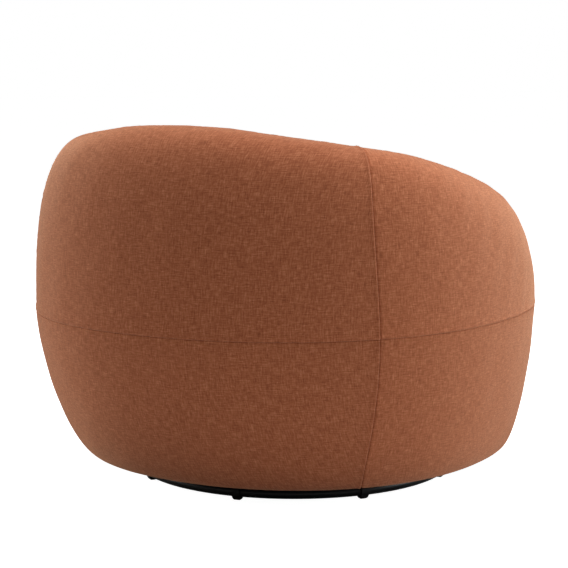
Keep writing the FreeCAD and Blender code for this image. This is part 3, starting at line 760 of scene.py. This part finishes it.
def makeFrontEdge(look):
    begin, end = math.radians(seams["armEnd"]) + look["endGap"], math.radians(360 - seams["armEnd"]) - look["endGap"]
    cx, cy = girth(np.linspace(begin, end, look["count"]))
    tangent = unit(np.stack([np.gradient(cx), np.gradient(cy)], -1))
    inward = np.stack([-tangent[:, 1], tangent[:, 0]], -1)
    inward *= np.sign((inward * -np.stack([cx, cy], -1)).sum(-1))[:, None]
    half, top = (look["drop"] - look["gap"]) / 2, shell["seam"]
    fold = [(half * (1 - math.sin(a)), top - half - half * math.cos(a))
            for a in np.linspace(0, math.pi, look["foldRows"])]
    profile = [(look["wide"], top - 2 * half), *fold, (look["wide"] * 0.5, top), (look["wide"], top)]
    verts, uv = [], []
    run = wayAlong(np.column_stack([cx, cy]))
    for (inset, z), v in zip(profile, wayAlong(np.array(profile))):
        verts.append(np.column_stack([cx + inward[:, 0] * inset, cy + inward[:, 1] * inset, np.full(len(cx), z)]))
        uv.append(np.column_stack([run, np.full(len(cx), v)]))
    index = vertexGrid(len(profile), len(cx))
    faces = [tuple(f) for f in gridQuads(np.concatenate([index, index[:1]]))]
    faces += [tuple(index[::-1, 0]), tuple(index[:, -1])]
    obj = newMesh("deck_front_edge", np.array(verts), faces, np.array(uv))
    work = bmesh.new()
    work.from_mesh(obj.data)
    bmesh.ops.recalc_face_normals(work, faces=work.faces)
    work.to_mesh(obj.data)
    work.free()
    finishPiece(obj, "seat", linen, "upholstery")


makeFrontEdge(frontEdge)
print("arm noses and front band made")

# loose seat cushion

cushionLook = {
    "halfWidth": 0.287, "back": 0.209, "front": 0.517, "bottom": 0.3458, "height": 0.100,
    "backCorner": 0.155, "frontCorner": 0.062, "bowRadius": 0.493,
    "crown": 0.024, "crownPower": 2.2, "edgeRound": 0.030,
    "voxel": 0.0065, "pressure": 4.0, "frames": 20, "restingBand": 0.004,
    "mass": 0.4, "stretch": 12, "bend": 3, "quality": 6,
    "capUp": 0.015, "capOut": 0.007,
    "dip": 0.0030, "dipReach": 0.012, "seamRadius": 0.0019, "seamProud": 0.0004,
    "pucker": 0.0009, "puckerPitch": 0.019, "puckerStretch": 0.3, "puckerStart": 0.004, "puckerReach": 0.020,
    "seamBand": 0.05,    # how far above and below a seam its dip is worked out
    "topBeyond": 0.707,  # a face whose normal is more upright than this belongs to the top or the underside
    "clothStart": 3.1,   # where on the cloth the top is cut
    "underRows": 10, "bendRows": 12, "sideRows": 8, "topRows": 25,
    "seed": 41, "neighbours": 5,
}


def cushionOutline(look, count=360, arcSteps=24):
    side, corner, nose = look["halfWidth"], look["backCorner"], look["frontCorner"]
    bow = look["bowRadius"] - look["front"]
    reach = side - nose
    low = bow - math.sqrt((look["bowRadius"] - nose) ** 2 - reach**2)
    swing = math.atan2(reach, bow - low)
    arcs = [((side - corner, look["back"] - corner), corner, quarterTurn, 0),
            ((reach, low), nose, 0, swing - quarterTurn),
            ((0, bow), look["bowRadius"], swing - quarterTurn, -quarterTurn)]
    right = [(0.0, look["back"])]
    for (cx, cy), r, begin, end in arcs:
        turns = [begin + (end - begin) * k / arcSteps for k in range(arcSteps + 1)]
        right += [(cx + r * math.cos(a), cy + r * math.sin(a)) for a in turns]
    loop = np.array(right + [(-x, y) for x, y in right[-2:0:-1]])
    closed = np.concatenate([loop, loop[:1]])
    run = wayAlong(closed)
    at = np.linspace(0, run[-1], count, endpoint=False)
    return np.stack([np.interp(at, run, closed[:, 0]), np.interp(at, run, closed[:, 1])], -1), at


def cushionHeart(look):
    return np.array([0.0, (look["back"] - look["front"]) / 2])


def cushionBlank(look):  # the cut and sewn shape before it is filled
    outline, _ = cushionOutline(look)
    heart = cushionHeart(look)
    inward = unit(heart - outline)
    edge, high = look["edgeRound"], look["height"]
    under, bend, side, top = (look[name] for name in ("underRows", "bendRows", "sideRows", "topRows"))
    quarter = [k / bend * quarterTurn for k in range(bend + 1)]
    rows = [(k / under, edge, 0.0) for k in range(1, under)]  # share of the outline, inset and height
    rows += [(1, edge * (1 - math.sin(a)), edge * (1 - math.cos(a))) for a in quarter]
    rows += [(1, 0.0, edge + (high - 2 * edge) * k / side) for k in range(1, side)]
    rows += [(1, edge * (1 - math.cos(a)), high - edge * (1 - math.sin(a))) for a in quarter]
    shares = [1 - k / top for k in range(1, top)]
    rows += [(share, edge, high + look["crown"] * (1 - share ** look["crownPower"])) for share in shares]
    verts = []
    for share, inset, up in rows:
        ring = heart + (outline + inward * inset - heart) * share
        verts.append(np.column_stack([ring, np.full(len(ring), look["bottom"] + up)]))
    index = vertexGrid(len(rows), len(outline))
    closed = np.concatenate([index, index[:, :1]], 1)
    faces = [tuple(q) for q in gridQuads(closed)[:, [1, 2, 3, 0]]]
    return newMesh("seat_cushion_cover", np.array(verts), faces + [tuple(index[0]), tuple(index[-1][::-1])])


def meshPoints(mesh):
    points = np.zeros(len(mesh.vertices) * 3)
    mesh.vertices.foreach_get("co", points)
    return points.reshape(-1, 3)


def swellCushion(obj, look):  # fills the cover with a short cloth simulation and returns where each point came from
    scene = bpy.context.scene
    remesh = obj.modifiers.new("even", "REMESH")
    remesh.mode, remesh.voxel_size = "VOXEL", look["voxel"]
    bpy.context.view_layer.objects.active = obj
    bpy.ops.object.modifier_apply(modifier=remesh.name)
    before = meshPoints(obj.data)
    resting = obj.vertex_groups.new(name="resting")
    under = np.where(before[:, 2] < look["bottom"] + look["restingBand"])[0]
    resting.add([int(k) for k in under], 1.0, "REPLACE")
    cloth = obj.modifiers.new("swell", "CLOTH")
    cloth.settings.quality = look["quality"]
    cloth.settings.mass = look["mass"]
    cloth.settings.tension_stiffness = cloth.settings.compression_stiffness = look["stretch"]
    cloth.settings.bending_stiffness = look["bend"]
    cloth.settings.use_pressure = True
    cloth.settings.uniform_pressure_force = look["pressure"]
    cloth.settings.vertex_group_mass = "resting"
    cloth.settings.effector_weights.gravity = 0
    cloth.collision_settings.use_collision = False
    for number in range(1, look["frames"] + 1):
        scene.frame_set(number)
    moved = meshPoints(obj.evaluated_get(bpy.context.evaluated_depsgraph_get()).data) - before
    obj.modifiers.remove(cloth)
    scene.frame_set(1)
    out = np.linalg.norm(moved[:, :2], axis=1, keepdims=True)
    moved[:, :2] *= np.minimum(1, look["capOut"] / np.maximum(out, 1e-9))
    moved[:, 2] = np.clip(moved[:, 2], 0, look["capUp"])
    obj.data.vertices.foreach_set("co", (before + moved).ravel())
    return before


def cushionSeam(look, high):  # the seam's line on the blank, and the way out of the cushion there
    outline, along = cushionOutline(look)
    outward = unit(outline - cushionHeart(look))
    small = look["edgeRound"] * (1 - math.sqrt(0.5))
    level = look["bottom"] + (look["height"] - small if high else small)
    line = np.column_stack([outline - outward * small, np.full(len(outline), level)])
    away = unit(np.column_stack([outward, np.full(len(outline), 1.0 if high else -1.0)]))
    return line, away, along


def nearestOn(line, points, batch=2000):  # number of the nearest point of a line, and how far it is
    number, apart = np.zeros(len(points), int), np.zeros(len(points))
    for start in range(0, len(points), batch):
        part = slice(start, start + batch)
        gaps = np.linalg.norm(points[part, None] - line[None], axis=2)
        number[part], apart[part] = gaps.argmin(1), gaps.min(1)
    return number, apart


def makeCushion(look):
    obj = cushionBlank(look)
    before = swellCushion(obj, look)
    after = meshPoints(obj.data)
    finder = kdtree.KDTree(len(before))
    for number, point in enumerate(before):
        finder.insert(point, number)
    finder.balance()
    sunk = np.zeros_like(after)
    for high in (True, False):
        line, away, along = cushionSeam(look, high)
        band = np.where(np.abs(before[:, 2] - line[0, 2]) < look["seamBand"])[0]
        nearest, apart = nearestOn(line, before[band])
        puckerPhase = fullTurn / look["puckerPitch"]
        ruck = softNoise(along[nearest] * puckerPhase, apart * puckerPhase * look["puckerStretch"], look["seed"] + high)
        fade = np.exp(-apart / look["puckerReach"]) * (1 - np.exp(-apart / look["puckerStart"]))
        inward = look["dip"] * np.exp(-((apart / look["dipReach"]) ** 2)) - look["pucker"] * ruck * fade
        sunk[band] -= away[nearest] * inward[:, None]
        around = [[n for _, n, _ in finder.find_n(point, look["neighbours"])] for point in line]
        shift = np.array([np.mean([after[n] - before[n] for n in near], axis=0) for near in around])
        path = line + shift - away * (look["dip"] - look["seamProud"])
        seam = roundTube("cushion_seam_" + ("top" if high else "bottom"), path, look["seamRadius"], flat=away)
        finishPiece(seam, "seat", linen, "upholstery")
    obj.data.vertices.foreach_set("co", (after + sunk).ravel())
    obj.data.update()
    layCloth(obj, look)
    finishPiece(obj, "seat", linen, "upholstery", "seat_cushion")


def layCloth(obj, look):  # cloth laid straight over the top and wrapped along the sides
    mesh = obj.data
    points = meshPoints(mesh)
    layer = mesh.uv_layers.get("cloth") or mesh.uv_layers.new(name="cloth")
    outline, along = cushionOutline(look)
    heart = outline.mean(0)
    turns = np.arctan2(outline[:, 1] - heart[1], outline[:, 0] - heart[0])
    order = np.argsort(turns)
    run = np.interp(np.arctan2(points[:, 1] - heart[1], points[:, 0] - heart[0]), turns[order], along[order])
    loops = np.zeros(len(mesh.loops), int)
    mesh.loops.foreach_get("vertex_index", loops)
    normals = np.zeros(len(mesh.polygons) * 3)
    mesh.polygons.foreach_get("normal", normals)
    counts = np.zeros(len(mesh.polygons), int)
    mesh.polygons.foreach_get("loop_total", counts)
    up = np.repeat(np.abs(normals.reshape(-1, 3)[:, 2]) > look["topBeyond"], counts)
    top = points[loops][:, :2] + look["clothStart"]
    side = np.column_stack([run[loops], points[loops][:, 2]])
    layer.data.foreach_set("uv", np.where(up[:, None], top, side).ravel())


makeCushion(cushionLook)
print("cushion made")

# deck under the cushion, in the same cloth

deckLook = {
    "low": 0.3336, "high": 0.3448, "front": 0.5038, "armLine": 0.3345,
    "rearMargin": 0.0055, "rearGap": 0.0006, "frontInset": 0.0158, "armGap": 0.0002,
    "edgeDrop": 0.0018, "edgeReach": 0.01,
    "frontRows": 30, "middleRows": 20, "backRows": 40, "columns": 61,
    "clothStart": 5.3,
}


def deckHalf(y, look):
    innerPower, power = shell["innerPower"], shell["power"]
    rear = np.maximum(1 - (np.maximum(y, 0) / (shell["deckBack"] + look["rearMargin"])) ** innerPower, 0)
    back = (shell["deckHalf"] + look["rearMargin"]) * rear ** (1 / innerPower)
    share = np.clip((shell["shift"] - y) / (shell["front"] - look["frontInset"]), 0, 1)
    front = (shell["halfWidth"] - look["frontInset"]) * np.maximum(1 - share**power, 0) ** (1 / power)
    return np.where(y > -look["armLine"], back, front)


def makeDeck(look):
    line = -look["armLine"]
    backY = shell["deckBack"] + look["rearMargin"] - look["rearGap"]
    ys = np.concatenate([np.linspace(-look["front"], line - look["armGap"], look["frontRows"]),
                         np.linspace(line + look["armGap"], 0, look["middleRows"])[:-1],
                         backY * np.sin(np.linspace(0, quarterTurn, look["backRows"]))])
    half = deckHalf(ys, look)[:, None]
    rows, cols = len(ys), look["columns"]
    x, y = half * np.linspace(-1, 1, cols)[None], np.broadcast_to(ys[:, None], (rows, cols))
    soft = look["edgeDrop"] * (1 - np.minimum(1, (half - np.abs(x)) / look["edgeReach"])) ** 2
    top = np.stack([x, y, look["high"] - soft], -1)
    under = np.stack([x, y, np.full((rows, cols), look["low"])], -1)
    uv = np.stack([x, y], -1).reshape(-1, 2) + look["clothStart"]
    obj = newMesh("deck_cover", np.concatenate([top.reshape(-1, 3), under.reshape(-1, 3)]),
                  slabFaces(rows, cols)[:, ::-1], np.concatenate([uv, uv]))
    finishPiece(obj, "seat", linen, "upholstery", "seat_deck")


makeDeck(deckLook)
print("deck made")

# ring and glides of the base

ringLook = {"radius": 0.3144, "tube": 0.011, "height": 0.017, "steps": 288, "sides": 36}


def makeRing(look):
    turns = np.linspace(0, fullTurn, look["steps"], endpoint=False)
    path = np.column_stack([look["radius"] * np.cos(turns), look["radius"] * np.sin(turns),
                            np.full(look["steps"], look["height"])])
    obj = roundTube("base_ring_tube", path, look["tube"], sides=look["sides"])
    finishPiece(obj, "base", slotMaterials["black_steel"], "black_steel", "base_ring")


glideLook = {
    "first": 12.0, "apart": 45.0, "count": 8,
    "length": 0.017, "footHalf": 0.008,
    "outer": 0.014, "inner": 0.01112, "lip": 0.005,  # its clip, measured from the middle of the tube
    "outerSteps": 12, "innerSteps": 18, "soleSteps": 6,
    "soleRound": 0.0055,      # across the tube
    "endRound": 0.004,        # along the tube
    "endShares": (0, 0.3, 0.62, 1),
    "floorGap": 0.0002,
    "bevel": 0.0006, "bevelAbove": 40,
}


def arcPoints(radius, begin, end, count):
    return [(radius * math.cos(a), radius * math.sin(a)) for a in np.linspace(begin, end, count)]


def glideOutline(look, rise):  # across the tube, with the sole raised by rise
    meet = -math.acos(look["footHalf"] / look["outer"])
    outerArc = arcPoints(look["outer"], math.asin(look["lip"] / look["outer"]), meet, look["outerSteps"])
    bore = arcPoints(look["inner"], math.asin(look["lip"] / look["inner"]), -quarterTurn, look["innerSteps"])
    corner = min(look["soleRound"], outerArc[-1][1] + ringLook["height"] - rise - look["floorGap"])
    sole = [(look["footHalf"] - corner * (1 - math.cos(a)), rise + corner * (1 - math.sin(a)) - ringLook["height"])
            for a in np.linspace(0, quarterTurn, look["soleSteps"])]
    half = outerArc + sole
    return half + [(-y, z) for y, z in half[::-1]] + [(-y, z) for y, z in bore[:-1]] + bore[::-1]


def makeGlides(look):
    sections = []
    for share in look["endShares"]:
        rise = look["endRound"] * (1 - math.sqrt(1 - (1 - share) ** 2))
        sections.append((share * look["endRound"] - look["length"] / 2, glideOutline(look, rise)))
    sections += [(-x, outline) for x, outline in sections[::-1]]
    work = bmesh.new()
    for number in range(look["count"]):
        turn = Matrix.Rotation(math.radians(look["first"] + look["apart"] * number), 4, "Z")
        rings = []
        for x, outline in sections:
            places = [(x, ringLook["radius"] + y, ringLook["height"] + z) for y, z in outline]
            rings.append([work.verts.new(turn @ Vector(place)) for place in places])
        work.faces.new(rings[0])
        work.faces.new(rings[-1][::-1])
        for one, two in zip(rings, rings[1:]):
            for k in range(len(one)):
                n = (k + 1) % len(one)
                work.faces.new([one[n], one[k], two[k], two[n]])
    bmesh.ops.recalc_face_normals(work, faces=work.faces)
    mesh = bpy.data.meshes.new("floor_glide_set")
    work.to_mesh(mesh)
    work.free()
    obj = bpy.data.objects.new("floor_glide_set", mesh)
    bpy.context.scene.collection.objects.link(obj)
    rounded = obj.modifiers.new("rounded", "BEVEL")
    rounded.width, rounded.segments = look["bevel"], 2
    rounded.limit_method, rounded.angle_limit = "ANGLE", math.radians(look["bevelAbove"])
    finishPiece(obj, "base", slotMaterials["black_nylon"], "black_nylon", "floor_glides")


makeRing(ringLook)
makeGlides(glideLook)
print("base made")
